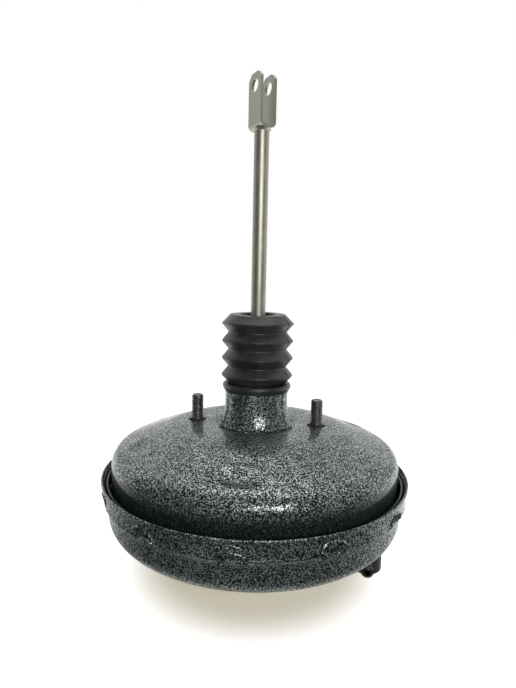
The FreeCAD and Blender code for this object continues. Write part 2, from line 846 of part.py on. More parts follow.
def makeNeckSeal():
    return turned("neck_seal", [
        ("tail_radius + free_gap", "neck_seal_level"),
        ("neck_bore - seal_lip", "neck_seal_level + seal_lip"),
        ("neck_bore - seal_lip", "neck_seal_level"),
        ("neck_bore", "neck_seal_level"),
        ("neck_bore", "bush_level"),
        ("tail_radius + free_gap", "bush_level"),
    ])


def makeNeckBush():
    return turned("neck_bush", [
        ("tail_radius + bush_clearance", "bush_level"),
        ("neck_bore", "bush_level"),
        ("neck_bore", "neck_ring_level"),
        ("tail_radius + bush_clearance", "neck_ring_level"),
    ])


def makeNeckRing():
    return turned("neck_ring", [
        ("tail_radius + free_gap", "neck_ring_level"),
        ("neck_bore", "neck_ring_level"),
        ("neck_bore", "neck_ring_level + neck_ring_height"),
        ("tail_radius + free_gap", "neck_ring_level + neck_ring_height"),
    ])


def makeBoot():
    outer = [
        ("neck_radius", "collar_foot"),
        ("collar_radius - collar_round", "collar_foot"),
        ("collar_radius", "bead_level"),
        ("collar_radius", "collar_lip - collar_round"),
        ("collar_radius - collar_round", "collar_lip"),
        ("waist_radius", "waist_level"),
    ]
    inner = [
        ("waist_inner_radius", "neck_top"),
        ("neck_radius", "neck_top"),
        ("neck_radius", "bead_level + bead_reach"),
        ("bead_radius", "bead_level + bead_crest"),
        ("bead_radius", "bead_level - bead_crest"),
        ("neck_radius", "bead_level - bead_reach"),
    ]
    ridges_out = []
    ridges_in = []
    for ridge in range(int(value("ridge_count"))):
        drop = " - ridge_pitch" * ridge
        level = "top_ridge_level" + drop
        ridges_out.append(("ridge_radius", level))
        ridges_in.append(("ridge_inner_radius", level))
        if ridge + 1 < int(value("ridge_count")):
            ridges_out.append(("valley_radius", level + " - half_pitch"))
            ridges_in.append(("valley_inner_radius", level + " - half_pitch"))
    ridges_out.reverse()
    lid = [
        ("boot_top_radius", "boot_top"),
        ("boot_hole_radius", "boot_top"),
        ("boot_hole_radius", "boot_top - boot_sheet"),
        ("boot_top_radius - boot_sheet + collar_round", "boot_top - boot_sheet"),
    ]
    return turned("boot", outer + ridges_out + lid + ridges_in + inner)


# Power piston and what rides in it

def makeValveBody():
    body = turned("valve_body", [
        ("recess_radius", "piston_front"),
        ("hub_radius", "piston_front", "hub_round"),
        ("hub_taper", "dish_bottom"),
        ("hub_neck_radius", "dish_bottom"),
        ("hub_neck_radius", "hub_neck_top"),
        ("tail_radius", "hub_neck_top"),
        ("tail_radius", "tail_top"),
        ("tail_bore", "tail_top"),
        ("tail_bore", "tail_bore_level"),
        ("poppet_bore", "tail_bore_level"),
        ("poppet_bore", "poppet_bore_floor"),
        ("seat_outer", "poppet_bore_floor"),
        ("seat_outer", "seat_top"),
        ("seat_inner", "seat_top"),
        ("seat_inner", "seat_floor"),
        ("plunger_bore", "seat_floor"),
        ("plunger_bore", "disc_top"),
        ("disc_radius", "disc_top"),
        ("disc_radius", "disc_foot"),
        ("recess_radius", "disc_foot"),
    ])
    # Slot for the stop key, from the hub's side to the plunger
    sketch = newSketch(body, "KeySketch", "YZ_Plane")
    drawOutline(sketch, [
        ("0", "key_top - key_sheet - key_clearance"),
        ("hub_radius + key_clearance", "key_top - key_sheet - key_clearance"),
        ("hub_radius + key_clearance", "key_top + key_clearance"),
        ("0", "key_top + key_clearance"),
    ])
    slot = addFeature(body, "Pocket", "KeySlot", sketch)
    slot.SideType = "Symmetric"
    slot.setExpression("Length", bound("key_half_width + key_half_width + key_clearance + key_clearance"))
    return body


def makeDiaphragmPlate():
    return turned("diaphragm_plate", [
        ("hub_neck_radius", "dish_top"),
        ("dish_flat_radius", "dish_top", "dish_bend"),
        ("dish_edge_radius", "dish_top - dish_edge_drop", "dish_edge_bend"),
        ("dish_rim_radius", "dish_top - dish_rim_drop"),
        ("dish_rim_radius", "dish_top - dish_rim_depth"),
        ("dish_rim_radius - dish_sheet", "dish_top - dish_rim_depth"),
        ("dish_rim_radius - dish_sheet", "dish_bottom - dish_rim_drop + bevel_shift"),
        ("dish_edge_radius - bevel_shift", "dish_bottom - dish_edge_drop", "dish_edge_bend - dish_sheet"),
        ("dish_flat_radius", "dish_bottom", "dish_bend + dish_sheet"),
        ("hub_neck_radius", "dish_bottom"),
    ])


def makeDiaphragm():
    return turned("diaphragm", [
        ("hub_neck_radius + free_gap", "web_level + hub_bead_height"),
        ("hub_bead_radius", "web_level + hub_bead_height"),
        ("hub_bead_radius", "web_level"),
        ("dish_flat_radius", "web_level", "dish_bend"),
        ("dish_edge_radius + bevel_shift", "web_level - dish_edge_drop", "dish_edge_bend"),
        ("roll_radius", "roll_level", "roll_round"),
        ("roll_foot_radius", "roll_foot_level", "roll_round"),
        ("roll_foot_radius", "flange_foot"),
        ("clamp_radius", "flange_foot"),
        ("clamp_foot_radius", "clamp_foot"),
        ("clamp_inner_radius", "clamp_foot"),
        ("clamp_inner_radius", "roll_foot_level"),
        ("roll_radius - roll_sheet", "roll_level - roll_sheet"),
        ("dish_edge_radius + bevel_shift", "web_level - web_sheet - dish_edge_drop"),
        ("dish_flat_radius", "web_level - web_sheet", "dish_bend + web_sheet"),
        ("hub_neck_radius + free_gap", "web_level - web_sheet"),
    ])


def makeReactionDisc():
    return turned("reaction_disc", [
        ("0", "disc_foot"),
        ("disc_radius", "disc_foot"),
        ("disc_radius", "disc_top"),
        ("0", "disc_top"),
    ])


def makeOutputRod():
    return turned("output_rod", [
        ("0", "output_rod_end"),
        ("output_rod_radius", "output_rod_end"),
        ("output_rod_radius", "disc_foot - rod_head_height", "output_fillet"),
        ("rod_head_radius", "disc_foot - rod_head_height"),
        ("rod_head_radius", "disc_foot"),
        ("0", "disc_foot"),
    ])


def makeOutputScrew():
    return turned("output_rod_screw", [
        ("0", "output_rod_end"),
        ("0", "screw_end"),
        ("screw_radius", "screw_end", "screw_round"),
        ("screw_radius", "output_rod_end"),
    ])


def makeOutputRing():
    return turned("output_rod_retainer", [
        ("output_ring_bore + output_fillet", "piston_front"),
        ("recess_radius", "piston_front"),
        ("recess_radius", "disc_foot - rod_head_height"),
        ("output_ring_bore + output_fillet", "disc_foot - rod_head_height"),
    ])


def makeStopKey():
    body = newBody("stop_key")
    sketch = newSketch(body, "Outline", "XY_Plane", "key_top - key_sheet")
    drawOutline(sketch, [
        ("0 - key_half_width", "key_inner"),
        ("key_half_width", "key_inner"),
        ("key_half_width", "key_outer", "key_round"),
        ("0 - key_half_width", "key_outer", "key_round"),
    ])
    pad = addFeature(body, "Pad", "Plate", sketch)
    pad.setExpression("Length", bound("key_sheet"))
    return body


def makePlunger():
    return turned("valve_plunger", [
        ("0", "plunger_front"),
        ("plunger_radius", "plunger_front"),
        ("plunger_radius", "waist_foot"),
        ("waist_depth_radius", "waist_foot"),
        ("waist_depth_radius", "waist_top"),
        ("plunger_radius", "waist_top"),
        ("plunger_radius", "head_foot"),
        ("head_radius", "head_foot"),
        ("head_radius", "head_top"),
        ("socket_flare", "head_top"),
        ("socket_mouth", "socket_mouth_level"),
        ("socket_radius", "socket_shoulder"),
        ("socket_radius", "ball_level - socket_radius", "socket_round"),
        ("0", "ball_level - socket_radius"),
    ])


def makePoppet():
    return turned("poppet_valve", [
        ("poppet_hole", "poppet_foot"),
        ("poppet_radius", "poppet_foot"),
        ("poppet_radius", "poppet_top"),
        ("poppet_radius - poppet_sleeve", "poppet_top"),
        ("poppet_radius - poppet_sleeve", "poppet_foot + poppet_face"),
        ("poppet_hole", "poppet_foot + poppet_face"),
    ])


def makePoppetRetainer():
    return turned("poppet_retainer", [
        ("retainer_inner", "retainer_foot"),
        ("poppet_bore", "retainer_foot"),
        ("poppet_bore", "tail_bore_level"),
        ("retainer_flange", "tail_bore_level"),
        ("retainer_flange", "tail_bore_level - retainer_sheet"),
        ("retainer_inner", "tail_bore_level - retainer_sheet"),
    ])


def makeFilterPart(label, foot, top, bore):
    return turned(label, [
        (bore, foot),
        ("tail_bore", foot),
        ("tail_bore", top),
        (bore, top),
    ])


# Input rod with its ball, spring seat and clevis

def makePushrod():
    return turned("pushrod", [
        ("0", "ball_level - ball_radius"),
        ("ball_radius", "ball_level - ball_radius", "ball_round"),
        ("ball_radius", "ball_level + ball_cheek", "ball_cheek"),
        ("rod_neck_radius", "ball_level + ball_radius"),
        ("rod_neck_radius", "rod_shoulder"),
        ("rod_radius", "rod_shoulder"),
        ("rod_radius", "rod_top - weld_height"),
        ("weld_radius", "rod_top"),
        ("0", "rod_top"),
    ])


def makeRodSeat():
    return turned("rod_spring_seat", [
        ("rod_neck_radius + seat_clearance", "rod_seat_top - rod_seat_sheet - rod_seat_sheet"),
        ("input_spring_top_radius - input_wire_radius - free_gap", "rod_seat_top - rod_seat_sheet - rod_seat_sheet"),
        ("input_spring_top_radius - input_wire_radius - free_gap", "rod_seat_top - rod_seat_sheet"),
        ("rod_seat_radius", "rod_seat_top - rod_seat_sheet"),
        ("rod_seat_radius", "rod_seat_top"),
        ("rod_neck_radius + seat_clearance", "rod_seat_top"),
    ])


# Straight edges of a shape that run along Y at a given height.
def edgesAlongY(shape, level):
    found = []
    for number, edge in enumerate(shape.Edges, start=1):
        ends = [vertex.Point for vertex in edge.Vertexes]
        if len(ends) < 2:
            continue
        run = ends[1] - ends[0]
        if abs(run.x) < 1e-6 and abs(run.z) < 1e-6 and abs(ends[0].z - level) < 1e-3:
            found.append("Edge%d" % number)
    return found


def makeClevis():
    body = newBody("clevis")
    # Side outline of both ears, with bevelled and rounded upper corners
    sketch = newSketch(body, "EarSketch", "YZ_Plane")
    drawOutline(sketch, [
        ("0 - ear_half_width", "rod_top"),
        ("ear_half_width", "rod_top"),
        ("ear_half_width", "clevis_top - ear_chamfer", "ear_round"),
        ("ear_half_width - ear_chamfer", "clevis_top", "ear_round"),
        ("0 - ear_half_width + ear_chamfer", "clevis_top", "ear_round"),
        ("0 - ear_half_width", "clevis_top - ear_chamfer", "ear_round"),
    ])
    ears = addFeature(body, "Pad", "Ears", sketch)
    ears.SideType = "Symmetric"
    ears.setExpression("Length", bound("clevis_half_gap + clevis_half_gap + ear_sheet + ear_sheet"))
    # Outer folds of the strip
    doc.recompute()
    folds = addFeature(body, "Fillet", "Folds", (ears, edgesAlongY(ears.Shape, value("rod_top"))))
    folds.setExpression("Radius", bound("clevis_bend"))
    # Gap between the ears
    sketch = newSketch(body, "GapSketch")
    drawOutline(sketch, [
        ("0 - clevis_half_gap", "clevis_top + free_gap"),
        ("0 - clevis_half_gap", "rod_top + ear_sheet", "clevis_inner_bend"),
        ("clevis_half_gap", "rod_top + ear_sheet", "clevis_inner_bend"),
        ("clevis_half_gap", "clevis_top + free_gap"),
    ])
    gap = addFeature(body, "Pocket", "Gap", sketch)
    gap.SideType = "Symmetric"
    gap.Type = "ThroughAll"
    # Cross hole for the pin
    sketch = newSketch(body, "PinSketch", "YZ_Plane")
    drawCircle(sketch, "0", "pin_level", "pin_radius")
    hole = addFeature(body, "Pocket", "PinHole", sketch)
    hole.SideType = "Symmetric"
    hole.Type = "ThroughAll"
    placeAt(body, "0", "0", "clevis_turn")
    return body


# Check valve on the front shell

def makeGrommet():
    return turned("valve_grommet", [
        ("grommet_bore", "boss_level - grommet_flange_height"),
        ("grommet_flange", "boss_level - grommet_flange_height", "grommet_round"),
        ("grommet_flange", "boss_level"),
        ("grommet_hole", "boss_level"),
        ("grommet_hole", "boss_inside"),
        ("grommet_inner_flange", "boss_inside"),
        ("grommet_hole", "boss_inside + grommet_inner_height"),
        ("grommet_bore", "boss_inside + grommet_inner_height"),
    ])


def makeCheckValve():
    body = turned("check_valve_body", [
        ("stub_bore", "stub_top"),
        ("stub_bore", "chamber_ceiling"),
        ("chamber_bore", "chamber_ceiling"),
        ("chamber_bore", "chamber_foot"),
        ("chamber_radius", "chamber_foot"),
        ("chamber_radius", "chamber_top", "chamber_round"),
        ("stub_radius", "chamber_top"),
        ("stub_radius", "stub_bead_foot"),
        ("stub_bead_radius", "stub_bead_foot"),
        ("stub_bead_radius - stub_taper", "stub_top"),
    ])
    # Hose nipple with a barb at its end, turned about its own level axis
    sketch = newSketch(body, "NippleSketch", "YZ_Plane")
    drawOutline(sketch, [
        ("0 - nipple_start", "nipple_level"),
        ("0 - nipple_start", "nipple_level + nipple_radius"),
        ("0 - nipple_length + barb_length", "nipple_level + nipple_radius"),
        ("0 - nipple_length + barb_length", "nipple_level + barb_radius"),
        ("0 - nipple_length + barb_tip", "nipple_level + barb_radius"),
        ("0 - nipple_length", "nipple_level + nipple_radius - barb_tip"),
        ("0 - nipple_length", "nipple_level"),
    ])
    nipple = addFeature(body, "Revolution", "Nipple", sketch)
    line = sketch.addGeometry(Part.LineSegment(Vector(-5, value("nipple_level"), 0), Vector(5, value("nipple_level"), 0)), True)
    sketch.addConstraint(Sketcher.Constraint("Horizontal", line))
    pinPoint(sketch, line, 1, "0 - nipple_radius", "nipple_level", "axis")
    nipple.ReferenceAxis = (sketch, ["Axis0"])
    nipple.Angle = 360
    sketch = newSketch(body, "BoreSketch", "XZ_Plane", "nipple_start - nipple_radius")
    drawCircle(sketch, "0", "nipple_level", "nipple_bore")
    bore = addFeature(body, "Pocket", "NippleBore", sketch)
    bore.Reversed = True
    bore.setExpression("Length", bound("nipple_length"))
    placeAt(body, "valve_circle", "valve_azimuth", "nipple_turn")
    return body


def makeCheckCap():
    return turned("check_valve_cap", [
        ("0", "chamber_foot - cap_sheet"),
        ("chamber_radius", "chamber_foot - cap_sheet", "chamber_round"),
        ("chamber_radius", "chamber_foot"),
        ("cap_plug_radius", "chamber_foot"),
        ("cap_plug_radius", "chamber_foot + cap_plug_height"),
        ("0", "chamber_foot + cap_plug_height"),
    ])


def makeCheckDisc():
    return turned("check_disc", [
        ("0", "chamber_ceiling - valve_disc_gap - valve_disc_sheet"),
        ("valve_disc_radius", "chamber_ceiling - valve_disc_gap - valve_disc_sheet"),
        ("valve_disc_radius", "chamber_ceiling - valve_disc_gap"),
        ("0", "chamber_ceiling - valve_disc_gap"),
    ])


def makeSprings():
    springs = [
        coiled("return_spring", "return_foot_radius", "plate_inside + return_wire_radius",
               "return_top_radius", "dish_bottom - return_wire_radius", "return_wire_radius", "return_turns"),
        coiled("poppet_spring", "poppet_spring_radius", "poppet_foot + poppet_face + poppet_wire_radius",
               "poppet_spring_radius", "tail_bore_level - retainer_sheet - poppet_wire_radius",
               "poppet_wire_radius", "poppet_turns"),
        coiled("pushrod_spring", "input_spring_foot_radius", "tail_bore_level + input_wire_radius",
               "input_spring_top_radius", "rod_seat_top - rod_seat_sheet - input_wire_radius",
               "input_wire_radius", "input_turns"),
    ]
    check = coiled("check_spring", "check_spring_radius", "chamber_foot + check_wire_radius",
                   "check_spring_radius", "chamber_ceiling - valve_disc_gap - valve_disc_sheet - check_wire_radius",
                   "check_wire_radius", "check_turns")
    placeAt(check, "valve_circle", "valve_azimuth")
    return springs + [check]


parts = [
    makeFrontShell(),
    makeRearShell(),
    makeNeckTube(),
    makeRearStuds(),
    makeStudRings(),
    makeFrontStuds(),
    makeFrontPlate(),
    makeFrontSeal(),
    makeNeckSeal(),
    makeNeckBush(),
    makeNeckRing(),
    makeBoot(),
    makeValveBody(),
    makeDiaphragmPlate(),
    makeDiaphragm(),
    makeReactionDisc(),
    makeOutputRod(),
    makeOutputScrew(),
    makeOutputRing(),
    makeStopKey(),
    makePlunger(),
    makePoppet(),
    makePoppetRetainer(),
    makeFilterPart("silencer", "silencer_foot", "filter_foot", "filter_bore"),
    makeFilterPart("air_filter", "filter_foot", "filter_top", "filter_bore"),
    makeFilterPart("filter_ring", "filter_top", "filter_top + filter_ring_sheet", "filter_bore"),
    makePushrod(),
    makeRodSeat(),
    makeClevis(),
]
for piece in (makeGrommet(), makeCheckCap(), makeCheckDisc()):
    placeAt(piece, "valve_circle", "valve_azimuth")
    parts.append(piece)
parts.append(makeCheckValve())
parts += makeSprings()
doc.recompute()

# Every object has to be sound before anything is written.
unsound = [item.Label for item in doc.Objects if "Invalid" in item.State or "Error" in item.State]
if unsound:
    raise RuntimeError("unsound objects: " + ", ".join(unsound))
os.makedirs("parts", exist_ok=True)
for piece in parts:
    if piece.Shape.isNull() or not piece.Shape.isValid():
        raise RuntimeError(piece.Label + " has no valid shape")
    piece.Shape.exportStep("parts/" + piece.Label + ".step")
    print(piece.Label, len(piece.Shape.Solids), round(piece.Shape.Volume, 1))
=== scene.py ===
import json
import math
import bpy
from mathutils import Matrix, Vector


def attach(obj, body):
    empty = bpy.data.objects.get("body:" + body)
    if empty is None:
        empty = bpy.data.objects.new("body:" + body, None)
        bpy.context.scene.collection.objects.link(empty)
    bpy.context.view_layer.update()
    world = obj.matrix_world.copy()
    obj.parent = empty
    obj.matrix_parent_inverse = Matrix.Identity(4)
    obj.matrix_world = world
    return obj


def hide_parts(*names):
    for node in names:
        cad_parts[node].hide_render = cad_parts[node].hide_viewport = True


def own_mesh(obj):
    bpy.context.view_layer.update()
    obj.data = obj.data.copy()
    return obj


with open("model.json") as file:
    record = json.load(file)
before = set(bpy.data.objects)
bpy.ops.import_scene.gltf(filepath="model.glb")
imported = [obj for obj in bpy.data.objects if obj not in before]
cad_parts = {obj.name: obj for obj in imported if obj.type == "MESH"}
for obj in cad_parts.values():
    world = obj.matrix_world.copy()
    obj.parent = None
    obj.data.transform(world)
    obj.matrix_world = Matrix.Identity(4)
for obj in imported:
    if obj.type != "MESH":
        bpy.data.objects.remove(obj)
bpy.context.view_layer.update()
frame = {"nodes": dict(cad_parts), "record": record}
mm = 0.001
datum = -1.2  # the dome's flat top lies this far below the tops of the stud rings
print("frame loaded:", len(frame["nodes"]), "CAD nodes")


# Shader wiring

class Wire:
    # One node output; operators on it add Math nodes
    def __init__(self, tree, out=None):
        self.tree, self.out = tree, out

    def node(self, kind, settings=None, inputs=None, take=0):
        item = self.tree.nodes.new("ShaderNode" + kind)
        for key, setting in (settings or {}).items():
            setattr(item, key, setting)
        for key, given in (inputs or {}).items():
            if isinstance(given, Wire):
                self.tree.links.new(given.out, item.inputs[key])
            else:
                item.inputs[key].default_value = given
        return Wire(self.tree, item.outputs[take])

    def maths(self, operation, first, second):
        return self.node("Math", {"operation": operation}, {0: first, 1: second})

    def __add__(self, other):
        return self.maths("ADD", self, other)

    def __sub__(self, other):
        return self.maths("SUBTRACT", self, other)

    def __mul__(self, other):
        return self.maths("MULTIPLY", self, other)

    def __rsub__(self, other):
        return self.maths("SUBTRACT", other, self)

    __radd__, __rmul__ = __add__, __mul__

    def larger(self, other):
        return self.maths("MAXIMUM", self, other)

    def between(self, low, high):
        inputs = {"Value": self, "From Min": low, "From Max": high}
        return self.node("MapRange", {"interpolation_type": "SMOOTHSTEP"}, inputs)

    def blend(self, low, high):
        return self.node("Mix", {"data_type": "RGBA"}, {0: self, 6: low, 7: high}, take=2)

    def noise(self, scale, detail=2.0, rough=0.5, warp=0.0):
        return self.node("TexNoise", {}, {"Vector": self, "Scale": scale, "Detail": detail,
                                          "Roughness": rough, "Distortion": warp})

    def stretched(self, x, y, z):
        return self.node("Mapping", {}, {"Vector": self, "Scale": (x, y, z)})

    def axis(self, letter):
        return self.node("SeparateXYZ", {}, {0: self}, take=letter)


def tint(red, green, blue):
    return (red, green, blue, 1.0)


def finish(name, build, fixed=None):
    # build(place) gives the sockets that vary; its "Height" is (wire, strength, distance) for a Bump node
    material = bpy.data.materials.new(name)
    material.use_nodes = True
    tree = material.node_tree
    shader = tree.nodes["Principled BSDF"]
    place = Wire(tree).node("TexCoord", take="Object")
    for key, value in (fixed or {}).items():
        shader.inputs[key].default_value = value
    for key, wire in build(place).items():
        if key == "Height":
            height, strength, distance = wire
            wire = place.node("Bump", {}, {"Height": height, "Strength": strength, "Distance": distance})
            key = "Normal"
        tree.links.new(wire.out, shader.inputs[key])
    material.diffuse_color = tint(0.3, 0.3, 0.3)  # seen in the viewport only
    return material


# Hammertone paint of the shells: bright metallic worms on near-black paint, under a clear coat

paintLook = {
    "wormScale": 1180.0, "wormEdge": (0.555, 0.625), "wormMetal": 0.88, "wormSheen": 0.2,
    "cloudScale": 45.0, "cloudShift": 0.03, "gritScale": 2600.0, "gritShade": 0.5, "gritHeight": 0.12,
    "dark": tint(0.003, 0.0075, 0.0065), "light": tint(0.47, 0.535, 0.515), "roughness": 0.5,
    "bump": 0.35, "relief": 0.0003, "grooveShadeFade": (-0.036, -0.021), "grooveShadeRest": 0.08,
}
glossyCoat = {
    "Coat Weight": 0.5, "Coat IOR": 1.42, "Coat Roughness": 0.08,
    "IOR": 1.5, "Specular IOR Level": 0.05,
}


def hammertone(place, fade=None):
    # With a fade, the worms thin out between two levels, which paints shade into the groove inside the rim
    # and leaves it dark
    look = paintLook
    cloud = place.noise(look["cloudScale"]).between(0.3, 0.7)
    pattern = place.noise(look["wormScale"], detail=0.4, rough=0.4, warp=0.9) + cloud * look["cloudShift"]
    worm = pattern.between(*look["wormEdge"])
    grit = place.noise(look["gritScale"], 1.0)
    if fade:
        # Painted shade: deep in the groove the bright metallic worms fade out, so the groove renders dark
        worm = worm * (place.axis("Z").between(*fade) * (1 - look["grooveShadeRest"]) + look["grooveShadeRest"])
    shade = grit * look["gritShade"] + (1 - look["gritShade"] / 2)
    return {
        "Base Color": (worm * shade).blend(look["dark"], look["light"]),
        "Metallic": worm * look["wormMetal"],
        "Roughness": look["roughness"] - worm * look["wormSheen"],
        "Height": (worm + grit * look["gritHeight"], look["bump"], look["relief"]),
    }


hammertonePaint = finish("hammertonePaint", hammertone, glossyCoat)
# The dome's paint, with painted shade in the groove inside the rim
domePaintWithGrooveShade = finish("domeHammertoneGrooveShade", lambda place: hammertone(place, paintLook["grooveShadeFade"]),
                   glossyCoat)


# Drawn and plated steel of the pushrod and clevis

steelLook = {
    "bright": tint(0.42, 0.41, 0.335), "dull": tint(0.33, 0.325, 0.265), "speck": tint(0.16, 0.15, 0.11),
    "streakScale": 900.0, "drawn": 0.05, "cloudScale": 60.0, "speckScale": 700.0, "speckEdge": (0.66, 0.74),
    "roughness": 0.4, "bump": 0.12, "relief": 0.00004,
}


def satinSteel(place):
    look = steelLook
    streak = place.stretched(1, 1, look["drawn"]).noise(look["streakScale"], 3.0, 0.6).between(0.3, 0.7)
    cloud = place.noise(look["cloudScale"], 4.0, 0.6).between(0.35, 0.7)
    speck = place.noise(look["speckScale"], 2.0, 0.6).between(*look["speckEdge"])
    tone = (cloud * 0.6 + streak * 0.4).blend(look["dull"], look["bright"])
    return {
        "Base Color": (speck * 0.5).blend(tone, look["speck"]),
        "Roughness": look["roughness"] + cloud * 0.06 + speck * 0.1,
        "Height": (streak * 0.4 + speck, look["bump"], look["relief"]),
    }


zincSteel = finish("satinZincSteel", satinSteel, {"Metallic": 0.85})


# Dark plated steel of the studs, worn bright in patches

studLook = {
    "dark": tint(0.14, 0.138, 0.128), "worn": tint(0.46, 0.445, 0.41),
    "wornScale": 420.0, "wornEdge": (0.5, 0.72), "roughness": 0.28, "roughScale": 200.0,
    "grainScale": 1100.0, "bump": 0.3, "relief": 0.00005,
}


def darkSteelLook(place):
    look = studLook
    worn = place.noise(look["wornScale"], 3.0, 0.65).between(*look["wornEdge"])
    return {
        "Base Color": worn.blend(look["dark"], look["worn"]),
        "Roughness": look["roughness"] + place.noise(look["roughScale"], 3.0) * 0.2,
        "Height": (place.noise(look["grainScale"]), look["bump"], look["relief"]),
    }


darkSteel = finish("darkPlatedSteel", darkSteelLook, {"Metallic": 0.8})


# Rubber of the boot, dusty and slightly scuffed

rubberLook = {
    "deep": tint(0.014, 0.0142, 0.0125), "dusty": tint(0.05, 0.05, 0.044), "cloudScale": 55.0,
    "grainScale": 2600.0, "lumpScale": 500.0, "scuffScale": 300.0, "scuffEdge": (0.6, 0.75),
    "roughness": 0.36, "bump": 0.25, "relief": 0.00006,
}


def bootLook(place):
    look = rubberLook
    cloud = place.noise(look["cloudScale"], 4.0, 0.6).between(0.35, 0.75)
    grain = place.noise(look["grainScale"], 2.0, 0.6)
    scuff = place.stretched(1, 1, 3).noise(look["scuffScale"], 4.0, 0.7).between(*look["scuffEdge"])
    return {
        "Base Color": (cloud * 0.6 + scuff * 0.35).blend(look["deep"], look["dusty"]),
        "Roughness": look["roughness"] + cloud * 0.1 - scuff * 0.05,
        "Height": (grain + place.noise(look["lumpScale"]) * 0.6, look["bump"], look["relief"]),
    }


bootRubber = finish("bootRubber", bootLook, {"Specular IOR Level": 0.5})


# Plain finishes with one grain: two tones, the grain's scale, the roughness and the grain's depth

plainLooks = {
    "sealRubber": {"low": tint(0.012, 0.012, 0.012), "high": tint(0.03, 0.03, 0.03), "scale": 400.0,
                   "roughness": 0.42, "relief": 0.00004},
    "diaphragmRubber": {"low": tint(0.02, 0.02, 0.02), "high": tint(0.05, 0.048, 0.045), "scale": 260.0,
                        "roughness": 0.6, "relief": 0.00004},
    "blackMouldedPlastic": {"low": tint(0.005, 0.005, 0.005), "high": tint(0.012, 0.012, 0.012),
                            "scale": 500.0, "roughness": 0.34, "relief": 0.00004,
                            "fixed": {"Specular IOR Level": 0.3}},
    "paleMouldedPlastic": {"low": tint(0.52, 0.49, 0.42), "high": tint(0.66, 0.63, 0.55), "scale": 180.0,
                           "roughness": 0.42, "relief": 0.00004},
    "springSteel": {"low": tint(0.12, 0.12, 0.12), "high": tint(0.3, 0.3, 0.29), "scale": 500.0,
                    "roughness": 0.3, "relief": 0.00004, "fixed": {"Metallic": 0.9}},
    "passivatedSteel": {"low": tint(0.4, 0.35, 0.2), "high": tint(0.56, 0.53, 0.4), "scale": 60.0,
                        "roughness": 0.32, "relief": 0.00004, "fixed": {"Metallic": 0.85}},
    "filterFelt": {"low": tint(0.26, 0.25, 0.23), "high": tint(0.46, 0.45, 0.42), "scale": 1400.0,
                   "roughness": 0.9, "relief": 0.0003},
}


def speckled(look):
    def build(place):
        tone = place.noise(look["scale"], 3.0, 0.6)
        return {
            "Base Color": tone.between(0.3, 0.7).blend(look["low"], look["high"]),
            "Roughness": look["roughness"] + tone * 0.15,
            "Height": (place.noise(look["scale"] * 4.0), 0.25, look["relief"]),
        }
    return build


plain = {name: finish(name, speckled(look), look.get("fixed")) for name, look in plainLooks.items()}

slotFinish = {
    "shell_paint": hammertonePaint, "bright_steel": zincSteel, "dark_steel": darkSteel,
    "spring_steel": plain["springSteel"], "dish_steel": plain["passivatedSteel"], "boot_rubber": bootRubber,
    "seal_rubber": plain["sealRubber"], "diaphragm_rubber": plain["diaphragmRubber"],
    "valve_plastic": plain["blackMouldedPlastic"], "piston_plastic": plain["paleMouldedPlastic"],
    "filter_felt": plain["filterFelt"],
}
for part in frame["record"]["subparts"]:
    solid = frame["nodes"][part["node"]]
    for holder in solid.material_slots:
        holder.material = slotFinish[part["material_slot"]]
print("finishes made and given to the CAD nodes")


# Mesh helpers

def rounded(corners, chord=0.8):
    # Outline points from corners (x, y) or (x, y, bend), about a chord apart on the bends
    points = []
    for index, corner in enumerate(corners):
        spot = Vector(corner[:2])
        if len(corner) < 3:
            points.append(tuple(spot))
            continue
        back = (Vector(corners[index - 1][:2]) - spot).normalized()
        ahead = (Vector(corners[(index + 1) % len(corners)][:2]) - spot).normalized()
        half = back.angle(ahead) / 2
        reach = corner[2] / math.tan(half)
        first, last = spot + back * reach, spot + ahead * reach
        middle = spot + (back + ahead).normalized() * (corner[2] / math.sin(half))
        sweep = math.pi - 2 * half
        steps = max(2, math.ceil(corner[2] * sweep / chord))
        begin = math.atan2(first.y - middle.y, first.x - middle.x)
        turn = math.copysign(sweep, back.cross(ahead) * -1)
        for step in range(steps + 1):
            angle = begin + turn * step / steps
            points.append((middle.x + corner[2] * math.cos(angle), middle.y + corner[2] * math.sin(angle)))
    return points


def divided(points, longest):
    # The same closed outline, with no run longer than longest(x, y)
    result = []
    for index, point in enumerate(points):
        following = points[(index + 1) % len(points)]
        middle = [(here + there) / 2 for here, there in zip(point, following)]
        steps = max(1, math.ceil(math.dist(point, following) / longest(*middle)))
        for step in range(steps):
            share = step / steps
            result.append(tuple(here + (there - here) * share for here, there in zip(point, following)))
    return result


def newPiece(name, points, faces, material, sharp=40.0):
    mesh = bpy.data.meshes.new(name)
    mesh.from_pydata([(x * mm, y * mm, (z + datum) * mm) for x, y, z in points], [], faces)
    mesh.validate()
    mesh.materials.append(material)
    mesh.shade_smooth()
    mesh.set_sharp_from_angle(angle=math.radians(sharp))
    piece = bpy.data.objects.new(name, mesh)
    bpy.context.collection.objects.link(piece)
    return piece


def turnedPiece(name, profile, angles, material, shape=None, sharp=40.0):
    # A closed profile (radius, level) turned about Z; shape(radius, angle, level) may move each point
    points, faces = [], []
    rows, columns = len(profile), len(angles)
    for angle in angles:
        for radius, level in profile:
            r, z = shape(radius, angle, level) if shape else (radius, level)
            points.append((r * math.cos(angle), r * math.sin(angle), z))
    for column in range(columns):
        ahead = (column + 1) % columns
        for row in range(rows):
            above = (row + 1) % rows
            here, there = column * rows, ahead * rows
            faces.append((here + row, here + above, there + above, there + row))
    return newPiece(name, points, faces, material, sharp)


def smooth(low, high, value):
    share = min(1.0, max(0.0, (value - low) / (high - low)))
    return share * share * (3 - 2 * share)


def mound(value, middle, width):
    # A rounded ridge, 1 high
    return math.exp(-((value - middle) / width) ** 2)


